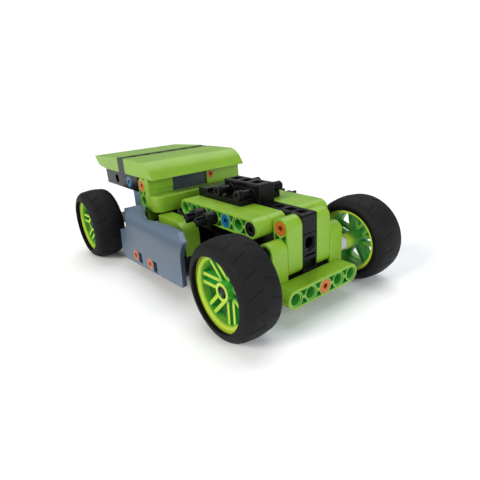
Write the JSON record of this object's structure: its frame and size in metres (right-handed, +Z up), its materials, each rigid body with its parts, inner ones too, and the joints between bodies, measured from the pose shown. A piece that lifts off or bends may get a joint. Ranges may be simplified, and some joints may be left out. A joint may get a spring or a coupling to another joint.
{
  "type": "construction kit car",
  "caption": "Open-wheel hot rod model car on a beam-and-pin kit chassis, with a ribbed engine, side panels, a flat visor roof and two turning axles.",
  "frame": {"origin": "on the ground under the middle of the length and width", "axes": "+X towards the nose, +Y to the car's left, +Z up"},
  "size_m": [0.209, 0.124, 0.069],
  "materials": {
    "lime_plastic": "satin moulded lime green plastic",
    "rim_plastic": "satin moulded yellow-green plastic",
    "grey_plastic": "satin moulded blue-grey plastic",
    "screen_plastic": "satin dark slate plastic",
    "black_plastic": "satin moulded black plastic",
    "tyre": "soft matt black tread rubber",
    "orange_plastic": "satin orange plastic",
    "blue_plastic": "satin blue plastic",
    "bush_plastic": "matt light grey plastic"
  },
  "bodies": {
    "chassis": {"black_pins": "black_plastic", "blue_pins": "blue_plastic", "bumper_beam": "lime_plastic", "cabin_floor": "black_plastic", "cabin_post_left": "lime_plastic", "cabin_post_right": "lime_plastic", "chassis_rail_left": "black_plastic", "chassis_rail_right": "black_plastic", "dash_panel": "lime_plastic", "engine_base": "black_plastic", "engine_block": "black_plastic", "engine_cylinders_left": "black_plastic", "engine_cylinders_right": "black_plastic", "exhaust_pipes_left": "black_plastic", "exhaust_pipes_right": "black_plastic", "hood_post_front": "black_plastic", "hood_post_rear": "black_plastic", "hood_side_beam_left": "lime_plastic", "hood_side_beam_right": "lime_plastic", "hood_spine": "black_plastic", "hood_top_beam_left": "lime_plastic", "hood_top_beam_right": "lime_plastic", "nose_beam_left": "lime_plastic", "nose_beam_right": "lime_plastic", "nose_bracket": "black_plastic", "nose_cap": "black_plastic", "nose_cheek_left": "lime_plastic", "nose_cheek_right": "lime_plastic", "nose_foot": "black_plastic", "orange_pins": "orange_plastic", "rear_post_left": "black_plastic", "rear_post_right": "black_plastic", "roof_bar": "black_plastic", "roof_beam_left": "black_plastic", "roof_beam_right": "black_plastic", "roof_panel_front": "lime_plastic", "roof_panel_rear": "lime_plastic", "screen_block_left": "lime_plastic", "screen_block_right": "lime_plastic", "side_arm_left": "grey_plastic", "side_arm_right": "grey_plastic", "side_panel_left": "grey_plastic", "side_panel_right": "grey_plastic", "side_pod_left": "lime_plastic", "side_pod_right": "lime_plastic", "sill_beam_left": "black_plastic", "sill_beam_right": "black_plastic", "windscreen_plate": "screen_plastic"},
    "front_wheels": {"front_axle": "black_plastic", "front_bushes": "bush_plastic", "rim_front_left": "rim_plastic", "rim_front_right": "rim_plastic", "tyre_front_left": "tyre", "tyre_front_right": "tyre"},
    "rear_wheels": {"rear_axle": "black_plastic", "rear_bushes": "bush_plastic", "rim_rear_left": "rim_plastic", "rim_rear_right": "rim_plastic", "tyre_rear_left": "tyre", "tyre_rear_right": "tyre"}
  },
  "joints": [
    {"name": "front_axle_spin", "type": "hinge", "parent": "chassis", "child": "front_wheels", "pos_m": [0.0805, 0, 0.024], "axis": [0, 1, 0], "continuous": true},
    {"name": "rear_axle_spin", "type": "hinge", "parent": "chassis", "child": "rear_wheels", "pos_m": [-0.0695, 0, 0.024], "axis": [0, 1, 0], "continuous": true}
  ]
}
